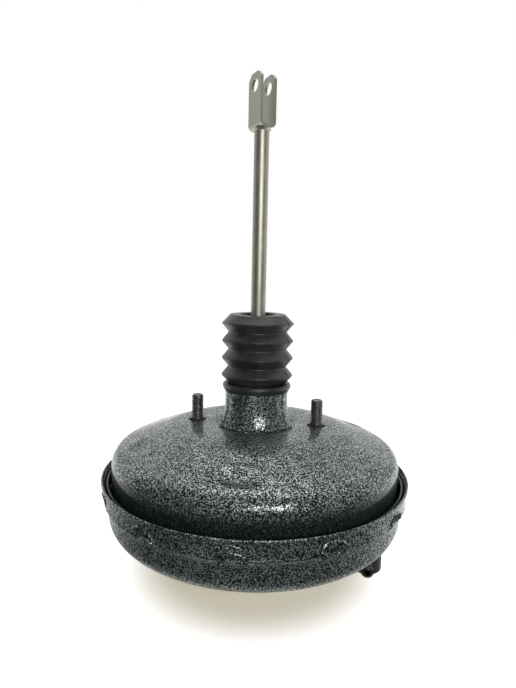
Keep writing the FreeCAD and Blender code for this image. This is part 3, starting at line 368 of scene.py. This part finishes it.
def aroundAngles(coarse, spots=(), half=0.0, fine=0.01):
    # Angles all the way round, closer together near the given spots
    angles = [2 * math.pi * step / coarse for step in range(coarse)]
    for spot in spots:
        steps = int(half / fine)
        angles += [(spot + fine * step) % (2 * math.pi) for step in range(-steps, steps + 1)]
    angles.sort()
    closest = fine * 0.6
    kept = []
    for angle in angles:
        if not kept or angle - kept[-1] > closest:
            kept.append(angle)
    return kept


def evenSpots(count, turn):
    # Angles of pressed features, evenly spaced, with the first one turned a few degrees from the front
    front = -math.pi / 2
    return [front + math.radians(turn) + 2 * math.pi * step / count for step in range(count)]


def sideGap(angle, spot):
    return (angle - spot + math.pi) % (2 * math.pi) - math.pi


def nearestGap(angle, spots):
    return min((sideGap(angle, spot) for spot in spots), key=abs)


rightAndLeft = ((1, "Right"), (-1, "Left"))


bowl = {
    "rim": 125.0, "rimTop": -38.5, "rimFoot": -40.1, "band": 123.5, "bandTop": -41.5, "bandFoot": -52.8,
    "side": 119.6, "sideTop": -58.5, "sideFoot": -79.3, "sideBend": 16.0, "dish": 66.0, "dishLevel": -88.7,
    "face": 60.0, "faceLevel": -94.0, "faceBend": 5.0, "opening": 21.0, "sheet": 1.6,
    "skin": 121.0, "skinFoot": -52.0, "skinSlope": 0.4, "footRidge": 0.35, "footLevel": -52.3,
    "footWidth": 0.6, "longestRun": 2.4,
}
lance = {
    "count": 12, "turn": 1.4, "zone": (-58.0, -42.5), "half": 9.2, "sideIn": 1.2, "sideOut": 0.8,
    "top": -45.2, "arch": 4.6, "edge": 0.6, "fade": (4.5, 9.0), "depth": 4.2,
    "lip": 1.25, "lipAbove": 0.7, "lipWidth": 0.8, "lipEnd": (8.5, 11.5),
    "meshZone": (-56.0, -43.0), "meshInside": 118.5, "longestRun": 0.55, "meshHalf": 0.1, "meshStep": 0.0065,
}
boss = {"circle": 96.0, "azimuth": math.radians(-15.7), "level": -87.2, "edge": (14.2, 16.6), "below": -79.5}
lanceSpots = evenSpots(lance["count"], lance["turn"])
bossX = boss["circle"] * math.cos(boss["azimuth"])
bossY = boss["circle"] * math.sin(boss["azimuth"])


def pressedBowl(radius, angle, level):
    # The skin test picks the outer side of the sheet, which draws in below the band
    outer = radius > bowl["skin"] - max(0.0, bowl["skinFoot"] - level) * bowl["skinSlope"]
    if outer and lance["zone"][0] < level < lance["zone"][1]:
        across = abs(nearestGap(angle, lanceSpots)) * bowl["band"]
        width = 1 - smooth(lance["half"] - lance["sideIn"], lance["half"] + lance["sideOut"], across)
        top = lance["top"] - lance["arch"] * (across / lance["half"]) ** 3
        below = smooth(0.0, lance["edge"], top - level) * (1 - smooth(*lance["fade"], top - level))
        radius -= lance["depth"] * width * below
        lip = lance["lip"] * (1 - smooth(*lance["lipEnd"], across))
        radius += lip * mound(level, top + lance["lipAbove"], lance["lipWidth"])
    fromBoss = math.hypot(radius * math.cos(angle) - bossX, radius * math.sin(angle) - bossY)
    if outer:
        radius += bowl["footRidge"] * mound(level, bowl["footLevel"], bowl["footWidth"])
    if level < boss["below"]:
        level += (min(level, boss["level"]) - level) * (1 - smooth(*boss["edge"], fromBoss))
    return radius, level


def bowlOutline():
    # Down the outside from the rim to the opening, and back up the inside
    sheet, faceInside = bowl["sheet"], bowl["faceLevel"] + bowl["sheet"]
    return [
        (bowl["rim"], bowl["rimTop"], 0.7), (bowl["rim"], bowl["rimFoot"], 0.8),
        (bowl["band"], bowl["bandTop"], 0.8), (bowl["band"], bowl["bandFoot"], 0.5),
        (bowl["side"], bowl["sideTop"], 4.0), (bowl["side"], bowl["sideFoot"], bowl["sideBend"]),
        (bowl["dish"], bowl["dishLevel"], bowl["faceBend"]),
        (bowl["face"], bowl["faceLevel"], bowl["faceBend"]),
        (bowl["opening"], bowl["faceLevel"], 0.4), (bowl["opening"], faceInside),
        (bowl["face"], faceInside, bowl["faceBend"] - sheet),
        (bowl["dish"], bowl["dishLevel"] + sheet, bowl["faceBend"] - sheet),
        (bowl["side"] - sheet, bowl["sideFoot"] + sheet, bowl["sideBend"] - sheet),
        (bowl["side"] - sheet, bowl["sideTop"] - 0.1, 6.6),
        (bowl["band"] - sheet, bowl["bandFoot"] + 1.2, 1.5),
        (bowl["band"] - sheet, bowl["bandTop"], 1.0), (bowl["rim"] - sheet, bowl["rimFoot"], 0.6),
        (bowl["rim"] - sheet, bowl["rimTop"], 0.7),
    ]


def bowlRun(radius, level):
    # The mesh is finer where the lances are
    low, high = lance["meshZone"]
    fine = radius > lance["meshInside"] and low < level < high
    return lance["longestRun"] if fine else bowl["longestRun"]


bowlProfile = divided(rounded(bowlOutline(), 0.3), bowlRun)
bowlAngles = aroundAngles(180, lanceSpots, lance["meshHalf"], lance["meshStep"])
frontShell = turnedPiece("frontShellPressing", bowlProfile, bowlAngles, hammertonePaint, pressedBowl)
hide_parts("front_shell")
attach(frontShell, "housing")
print("front shell made:", len(frontShell.data.polygons), "faces")


# Rear shell: dome with a neck, shallow dents and a turned-up lip

dome = {
    "sheet": 1.6, "bore": 24.4, "neck": 26.2, "neckTop": 33.0, "waist": 9.5, "bead": 27.2, "beadTop": 31.0,
    "beadFoot": 29.6, "flatStart": 38.0, "flatEnd": 66.3, "shoulderBend": 60.0, "side": 116.9,
    "sideTop": -19.1, "sideBend": 13.0, "lipFoot": -51.7, "lip": 119.3, "lipTop": -41.5, "lipStep": 2.6,
    "lipInside": 118.0, "stepHalf": (10.0, 13.0), "stepLevel": (43.0, 44.5), "longestRun": 2.5,
}
dent = {
    "count": 6, "turn": 1.4, "radius": 97.0, "long": 16.0, "wide": 9.0, "depth": 1.9, "edge": (0.25, 1.0),
    "rise": 0.4, "riseAt": 1.15, "riseWidth": 0.22, "zone": (70.0, 116.0), "above": -26.0,
    "meshZone": (78.0, 112.0), "longestRun": 1.2,
}
dentSpots = evenSpots(dent["count"], dent["turn"])


def pressedDome(radius, angle, level):
    if dent["zone"][0] < radius < dent["zone"][1] and level > dent["above"]:
        across = nearestGap(angle, dentSpots) * radius / dent["long"]
        along = (radius - dent["radius"]) / dent["wide"]
        reach = math.hypot(across, along)
        level -= dent["depth"] * (1 - smooth(*dent["edge"], reach))
        level += dent["rise"] * mound(reach, dent["riseAt"], dent["riseWidth"])
    if radius > dome["lipInside"] and -level > dome["stepLevel"][0]:
        # The turned-up lip steps in behind each lance
        across = abs(nearestGap(angle, lanceSpots)) * radius
        behind = 1 - smooth(*dome["stepHalf"], across)
        radius -= dome["lipStep"] * behind * smooth(*dome["stepLevel"], -level)
    return radius, level


def domeOutline():
    # Down the neck and over the dome to the lip, and back along the inside
    sheet, slope = dome["sheet"], dome["bead"] - dome["neck"]
    neckAndFoot = [
        (dome["bore"], dome["neckTop"], 0.3), (dome["neck"], dome["neckTop"], 0.5),
        (dome["neck"], dome["beadTop"] + slope), (dome["bead"], dome["beadTop"], 0.5),
        (dome["bead"], dome["beadFoot"], 0.5), (dome["neck"], dome["beadFoot"] - slope, 0.6),
        (dome["neck"], dome["waist"], 40.0), (29.9, 0.2, 0.6), (31.0, -0.6, 0.5), (30.2, -1.4), (30.2, -2.6),
        (31.8, -2.7, 0.4), (33.4, -1.2, 2.0),
    ]
    outside = [
        (dome["flatStart"], 0.0, 6.0), (dome["flatEnd"], 0.0, dome["shoulderBend"]),
        (dome["side"], dome["sideTop"], dome["sideBend"]), (dome["side"], dome["lipFoot"], 1.0),
        (dome["lip"], dome["lipFoot"], 1.0), (dome["lip"], dome["lipTop"], 0.3),
    ]
    inside = [
        (dome["lip"] + sheet, dome["lipTop"], 0.3),
        (dome["lip"] + sheet, dome["lipFoot"] - sheet, 1.0 + sheet),
        (dome["side"] - sheet, dome["lipFoot"] - sheet, 0.3),
        (dome["side"] - sheet, dome["sideTop"] - sheet, dome["sideBend"] - sheet),
        (dome["flatEnd"], -sheet, dome["shoulderBend"] - sheet), (dome["flatStart"], -sheet, 6.0 - sheet),
        (33.0, -4.2, 3.0), (28.4, -4.2), (dome["bore"], dome["waist"], 38.2),
    ]
    return neckAndFoot + outside + inside


def domeRun(radius, level):
    # The mesh is finer where the dents are
    inner, outer = dent["meshZone"]
    fine = inner < radius < outer and level > dent["above"]
    return dent["longestRun"] if fine else dome["longestRun"]


domeProfile = divided(rounded(domeOutline()), domeRun)
rearShell = turnedPiece("rearShellPressing", domeProfile, aroundAngles(300), domePaintWithGrooveShade, pressedDome)
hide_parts("rear_shell", "neck_tube")
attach(rearShell, "housing")
print("rear shell made:", len(rearShell.data.polygons), "faces")


# Rubber boot: a collar on the neck's bead, and bellows

bellows = {
    "ridges": 4, "top": 82.6, "pitch": 14.17, "ridge": 29.95, "valley": 24.2, "ridgeInside": 27.3,
    "valleyInside": 22.1, "mouth": 14.5, "shoulder": 22.7, "foot": 33.2, "end": 90.2, "thick": 1.8,
    "stroke": 36.0, "limit": 29.99, "longestRun": 1.4, "meshHalf": 0.08, "meshStep": 0.006,
}
softness = {
    "from": (36.0, 50.0), "sag": 0.14, "lift": 0.1, "tilt": 1.1, "tiltFrom": (80.0, 90.0),
    "seam": math.radians(-23.5), "seamInside": 23.4, "seamFoot": 33.8, "seamHalf": 0.022, "seamDepth": 1.3,
    "seamRise": 0.3, "seamSpread": 2.6,
}
seamSpots = (softness["seam"], softness["seam"] + math.pi)


def collarOutline():
    # Outside the neck's bead, and back up along it
    slope = dome["bead"] - dome["neck"]
    return [
        (26.2, 26.8), (26.8, 26.8, 0.4), (27.3, 28.2, 1.0), (28.6, 30.2, 1.6), (28.3, 32.6, 1.2),
        (26.8, 33.5, 0.6), (24.9, 33.3), (22.8, 33.0), (dome["neck"], dome["neckTop"]),
        (dome["neck"], dome["beadTop"] + slope), (dome["bead"], dome["beadTop"]),
        (dome["bead"], dome["beadFoot"]), (dome["neck"], dome["beadFoot"] - slope),
    ]


def bellowsOutline():
    # Up the outside from the foot, over the mouth and down the inside
    levels = [bellows["top"] - bellows["pitch"] * step for step in range(bellows["ridges"])]
    halfPitch, end = bellows["pitch"] / 2, bellows["end"]
    corners = [(22.0, 33.2), (23.8, 33.4)]
    for level in reversed(levels):
        if level != levels[-1]:
            corners.append((bellows["valley"], level - halfPitch, 0.9))
        corners.append((bellows["ridge"], level, 1.15))
    corners += [
        (bellows["shoulder"], end, 1.2), (bellows["mouth"], end, 0.8),
        (bellows["mouth"], end - bellows["thick"], 0.4), (21.3, end - bellows["thick"], 1.0),
    ]
    for level in levels:
        corners.append((bellows["ridgeInside"], level, 1.0))
        if level != levels[-1]:
            corners.append((bellows["valleyInside"], level - halfPitch, 0.8))
    return corners


def softBoot(radius, angle, level):
    # Slight waves in the rubber, a top that leans, and a moulding seam on two sides
    share = smooth(*softness["from"], level)
    wave = math.sin(angle * 3 + level * 0.11) + 0.6 * math.sin(angle * 5 - level * 0.23 + 1.0)
    radius += softness["sag"] * wave * share
    if radius > softness["seamInside"] and level > softness["seamFoot"]:
        for spot in seamSpots:
            across = sideGap(angle, spot) / softness["seamHalf"]
            radius += softness["seamRise"] * mound(across, 0.0, softness["seamSpread"])
            radius -= softness["seamDepth"] * mound(across, 0.0, 1.0)
    tilt = softness["tilt"] * smooth(*softness["tiltFrom"], level)
    lean = tilt * math.sin(angle) * radius / bellows["shoulder"]
    return min(radius, bellows["limit"]), level + softness["lift"] * wave * share + lean


bootAngles = aroundAngles(120, [spot % (2 * math.pi) for spot in seamSpots], bellows["meshHalf"],
                          bellows["meshStep"])
bootPieces = []
for name, corners in (("bootBellows", bellowsOutline()), ("bootCollar", collarOutline())):
    profile = divided(rounded(corners, 0.35), lambda radius, level: bellows["longestRun"])
    rubber = turnedPiece(name, profile, bootAngles, bootRubber, softBoot, 70.0)
    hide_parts("boot")
    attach(rubber, "housing")
    bootPieces.append(rubber)
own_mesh(bootPieces[0])
print("boot made:", sum(len(rubber.data.polygons) for rubber in bootPieces), "faces")


# Threaded studs with a knurled neck and a dimpled end

studs = {
    "rear": {"circle": 50.5, "base": 0.0, "flip": 1, "radius": 5.2, "pitch": 1.5, "foot": 1.3, "top": 19.3,
             "end": 20.9, "point": 4.5, "head": -4.6, "headTop": -1.6, "headRadius": 9.0,
             "knurl": 5.4, "knurlTop": 1.2},
    "front": {"circle": 40.0, "base": -94.0, "flip": -1, "radius": 4.0, "pitch": 1.25, "foot": 6.0,
              "top": 24.6, "end": 26.0, "point": 3.3, "head": -7.8, "headTop": -4.8, "headRadius": 7.5,
              "knurl": 4.8, "knurlTop": 0.0},
}
thread = {
    "share": 0.56, "slack": 0.05, "flank": (0.12, 0.86), "runIn": 1.2, "runOut": 0.4,
    "rowsPerPitch": 9, "columns": 40,
}


def threaded(size, angle, level):
    # Radius of a screw thread at this angle and level
    phase = (level / size["pitch"] - angle / (2 * math.pi)) % 1.0
    crest = 1 - abs(phase * 2 - 1)
    depth = size["pitch"] * thread["share"] * (1 - smooth(*thread["flank"], crest))
    depth *= smooth(size["foot"], size["foot"] + thread["runIn"], level)
    depth *= 1 - smooth(size["top"] - thread["runOut"], size["top"], level)
    return size["radius"] - thread["slack"] - depth


def studRows(size):
    # Radius and level from the head to the dimpled end; a thread row has no radius of its own
    rows = [
        (0.0, size["head"]), (size["headRadius"], size["head"]), (size["headRadius"], size["headTop"]),
        (size["knurl"], size["headTop"]), (size["knurl"], size["knurlTop"]),
    ]
    level = size["knurlTop"]
    while level < size["top"]:
        rows.append((None, level))
        level += size["pitch"] / thread["rowsPerPitch"]
    rows += [
        (size["radius"] - 0.3, size["top"] + 0.05), (size["point"], size["top"] + 0.7),
        (size["point"] - 0.1, size["end"] - 0.5), (size["point"] - 0.6, size["end"]), (1.9, size["end"]),
        (1.2, size["end"] - 0.7), (0.0, size["end"] - 0.9),
    ]
    return rows


def threadedStud(name, node, size, x):
    rows = studRows(size)
    points, faces = [], []
    columns, flip = thread["columns"], size["flip"]
    for column in range(columns):
        angle = 2 * math.pi * column / columns
        for radius, level in rows:
            r = threaded(size, angle, level) if radius is None else radius
            points.append((x + r * math.cos(angle) * flip, r * math.sin(angle), size["base"] + level * flip))
    for column in range(columns):
        ahead = (column + 1) % columns
        for row in range(len(rows) - 1):
            faces.append((column * len(rows) + row, column * len(rows) + row + 1,
                          ahead * len(rows) + row + 1, ahead * len(rows) + row))
    stud = newPiece(name, points, faces, darkSteel, 50.0)
    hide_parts(node)
    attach(stud, "housing")


for side, word in rightAndLeft:
    threadedStud("rearStud" + word, "rear_studs", studs["rear"], side * studs["rear"]["circle"])
    threadedStud("frontStud" + word, "front_studs", studs["front"], side * studs["front"]["circle"])


# Dished rings round the rear studs

dishedRing = [
    (5.4, 0.0), (6.2, 0.0, 0.6), (7.9, 0.9, 0.1), (7.9, 1.2, 0.1), (7.6, 1.2), (6.4, 0.6, 0.6), (5.4, 0.6),
]
for side, word in rightAndLeft:
    rim = turnedPiece("studRing" + word, rounded(dishedRing, 0.2), aroundAngles(64), darkSteel)
    for vertex in rim.data.vertices:
        vertex.co.x += side * studs["rear"]["circle"] * mm
    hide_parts("stud_rings")
    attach(rim, "housing")
print("studs and rings made")


# Coil springs, each attached to the body that carries it

springs = {
    "returnSpring": {"node": "return_spring", "body": "housing", "joint": "piston_stroke", "travel": 36.0,
                     "x": 0.0, "y": 0.0, "turns": 4.5, "foot": -87.4, "top": -12.9, "footRadius": 30.6,
                     "topRadius": 33.6, "wire": 2.0},
    "pushrodSpring": {"node": "pushrod_spring", "body": "power_piston", "joint": "valve_travel",
                      "travel": 2.0, "x": 0.0, "y": 0.0, "turns": 3.5, "foot": 30.9, "top": 42.3,
                      "footRadius": 11.4, "topRadius": 11.2, "wire": 0.7},
    "checkSpring": {"node": "check_spring", "body": "check_valve", "joint": "check_lift", "travel": 1.5,
                    "x": bossX, "y": bossY, "turns": 4.0, "foot": -102.5, "top": -94.7, "footRadius": 5.6,
                    "topRadius": 5.6, "wire": 0.4},
}


def coilSpring(name, size, around=36, sides=12, flatEnds=0.6):
    # The end turns lie flatter than the rest, as on a closed coil
    points, faces = [], []
    rings = round(size["turns"] * around)
    for ring in range(rings + 1):
        share = ring / rings
        angle = 2 * math.pi * size["turns"] * share
        radius = size["footRadius"] + (size["topRadius"] - size["footRadius"]) * share
        climb = share * (1 - flatEnds) + smooth(0.0, 1.0, share) * flatEnds
        level = size["foot"] + (size["top"] - size["foot"]) * climb
        for side in range(sides):
            lean = 2 * math.pi * side / sides
            r = radius + size["wire"] * math.cos(lean)
            points.append((size["x"] + r * math.cos(angle), size["y"] + r * math.sin(angle),
                           level + size["wire"] * math.sin(lean)))
    for ring in range(rings):
        for side in range(sides):
            low, ahead = ring * sides, (side + 1) % sides
            faces.append((low + side, low + sides + side, low + sides + ahead, low + ahead))
    faces.append(tuple(range(sides)))
    faces.append(tuple(rings * sides + side for side in range(sides - 1, -1, -1)))
    coil = newPiece(name, points, faces, plain["springSteel"], 60.0)
    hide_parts(size["node"])
    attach(coil, size["body"])
    foot, top = size["foot"] - size["wire"], size["top"] + size["wire"]
    size["x"] * mm
    size["y"] * mm
    (foot + datum) * mm
    1 - size["travel"] / (top - foot)
    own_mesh(coil)


for name, size in springs.items():
    coilSpring(name, size)
print("springs made")


# Weld between the pushrod and the clevis

weld = {
    "radius": 5.8, "level": 235.8, "thick": 0.4, "beads": 23, "beadHeight": 0.12, "waver": 0.08, "drift": 0.1,
}


def weldShape(radius, angle, level):
    ripple = weld["beadHeight"] * math.sin(angle * weld["beads"]) + weld["waver"] * math.sin(angle * 7 + 1.3)
    return radius + ripple, level + weld["drift"] * math.sin(angle * 5)


weldProfile = []
for step in range(-6, 6):
    lean = math.pi * step / 6
    weldProfile.append((weld["radius"] + weld["thick"] * math.cos(lean),
                        weld["level"] + weld["thick"] * math.sin(lean)))
weldBead = turnedPiece("clevisWeld", weldProfile, aroundAngles(140), darkSteel, weldShape)
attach(weldBead, "rod")
print("weld made")


# Floor: pale, with the soft shadow that the lamps cast, a warm painted shadow under the part, and a painted
# dark reflection where the paint mirrors it in front of the part

floorSet = {
    "size": 6.0, "level": -120.0 + datum, "pale": tint(0.86, 0.86, 0.86),
    "paintedDarkReflection": tint(0.1, 0.105, 0.105), "mirrorEdge": (-0.16, 0.14), "roughness": 0.9,
    "paintedShadowGlow": tint(0.3, 0.265, 0.17), "paintedShadowEdge": (0.07, 0.13), "underEdge": (0.09, 0.15),
    "white": tint(1.0, 1.0, 1.0),
}


def rayType(tree, name):
    return Wire(tree).node("LightPath", take=name)


def floorLook(place):
    tone = place.noise(3.0)
    # Painted dark reflection: to glossy rays, the floor in front of the part is dark
    mirrored = rayType(place.tree, "Is Glossy Ray")
    south = 1 - place.axis("Y").between(*floorSet["mirrorEdge"])
    return {
        "Base Color": (mirrored * south).blend(floorSet["pale"], floorSet["paintedDarkReflection"]),
        "Roughness": floorSet["roughness"] + tone * 0.02,
    }


def seenRays(tree, behind):
    # The background shows straight on, and mirrored or through glass where it stands behind the part
    straight, mirrored = rayType(tree, "Is Camera Ray"), rayType(tree, "Is Glossy Ray")
    return straight.larger(mirrored.larger(rayType(tree, "Is Transmission Ray")) * behind)


def addFloorGlow(tree):
    # What the camera sees of the floor glows white, and less and warmer under the part: a painted warm shadow
    # over the shadow that the lamps cast there
    place = Wire(tree).node("TexCoord", take="Object")
    reach = place.node("VectorMath", {"operation": "LENGTH"}, {0: place}, take="Value")
    under = 1 - reach.between(*floorSet["underEdge"])
    seen = seenRays(tree, under.larger(place.axis("Y").between(*floorSet["mirrorEdge"])))
    # Painted shadow: the glow fades to a dim warm tint near the part
    lift = reach.between(*floorSet["paintedShadowEdge"]).blend(floorSet["paintedShadowGlow"], floorSet["white"])
    glowing = seen.node("Emission", {}, {"Color": lift, "Strength": seen})
    painted = Wire(tree, tree.nodes["Principled BSDF"].outputs[0])
    joined = seen.node("AddShader", {}, {0: painted, 1: glowing})
    tree.links.new(joined.out, tree.nodes["Material Output"].inputs[0])


floorMaterial = finish("paleFloor", floorLook, {"Specular IOR Level": 0.1})
addFloorGlow(floorMaterial.node_tree)
half = floorSet["size"] / 2
floorMesh = bpy.data.meshes.new("paleFloor")
floorCorners = [(-half, -half, 0), (half, -half, 0), (half, half, 0), (-half, half, 0)]
floorMesh.from_pydata(floorCorners, [], [(0, 1, 2, 3)])
floorMesh.materials.append(floorMaterial)
floor = bpy.data.objects.new("paleFloor", floorMesh)
floor.location = (0, 0, floorSet["level"] * mm)
bpy.context.collection.objects.link(floor)


# Sky: white to the camera, and darker in front of the part, where the dome mirrors it

skyLook = {"strength": 0.72, "seen": 1.0, "front": 0.03, "side": (-0.85, 0.45), "mirrorSide": (-0.4, 0.5)}
world = bpy.data.worlds.new("studioWorld")
bpy.context.scene.world = world
world.use_nodes = True
northness = Wire(world.node_tree).node("TexCoord", take="Generated").axis("Y")
glow = northness.between(*skyLook["side"]) * (1 - skyLook["front"]) + skyLook["front"]
straight = rayType(world.node_tree, "Is Camera Ray")
seenSky = seenRays(world.node_tree, northness.between(*skyLook["mirrorSide"]))
shine = glow * (seenSky * (skyLook["seen"] - skyLook["strength"]) + skyLook["strength"])
strength = shine + straight * (1 - shine)
backing = world.node_tree.nodes["Background"]
backing.inputs["Color"].default_value = floorSet["white"]
world.node_tree.links.new(strength.out, backing.inputs["Strength"])


# Lamps, both aimed at the origin

lamps = {
    "keySoftbox": {"place": (0.42, -1.2, 0.46), "width": 0.75, "height": 0.5, "power": 9.5},
    "overheadSoftbox": {"place": (0.1, 0.2, 1.6), "width": 1.3, "height": 0.9, "power": 6.0},
}


def softbox(name, size):
    lamp = bpy.data.lights.new(name, "AREA")
    lamp.shape = "RECTANGLE"
    lamp.size, lamp.size_y, lamp.energy = size["width"], size["height"], size["power"]
    holder = bpy.data.objects.new(name, lamp)
    bpy.context.collection.objects.link(holder)
    holder.location = size["place"]
    holder.rotation_euler = (-Vector(size["place"])).to_track_quat("-Z", "Y").to_euler()


for name, size in lamps.items():
    softbox(name, size)


# Camera, placed as the photograph was taken

view = {
    "place": (0.04934, -0.38515, 0.1051), "heading": -0.12631, "pitch": 0.1051, "roll": 0.0208,
    "lens": 24.593, "sensor": 36.0,
}
lens = bpy.data.cameras.new("photoCamera")
lens.lens, lens.sensor_width, lens.sensor_fit = view["lens"], view["sensor"], "AUTO"
lens.clip_start = 0.01
photoCamera = bpy.data.objects.new("photoCamera", lens)
bpy.context.collection.objects.link(photoCamera)
heading = Matrix.Rotation(-view["heading"], 4, "Z")
pitch = Matrix.Rotation(math.pi / 2 - view["pitch"], 4, "X")
roll = Matrix.Rotation(view["roll"], 4, "Z")
photoCamera.matrix_world = Matrix.Translation(view["place"]) @ heading @ pitch @ roll
bpy.context.scene.camera = photoCamera
bpy.context.scene.view_settings.view_transform = "Standard"
print("stage, lights and camera set")
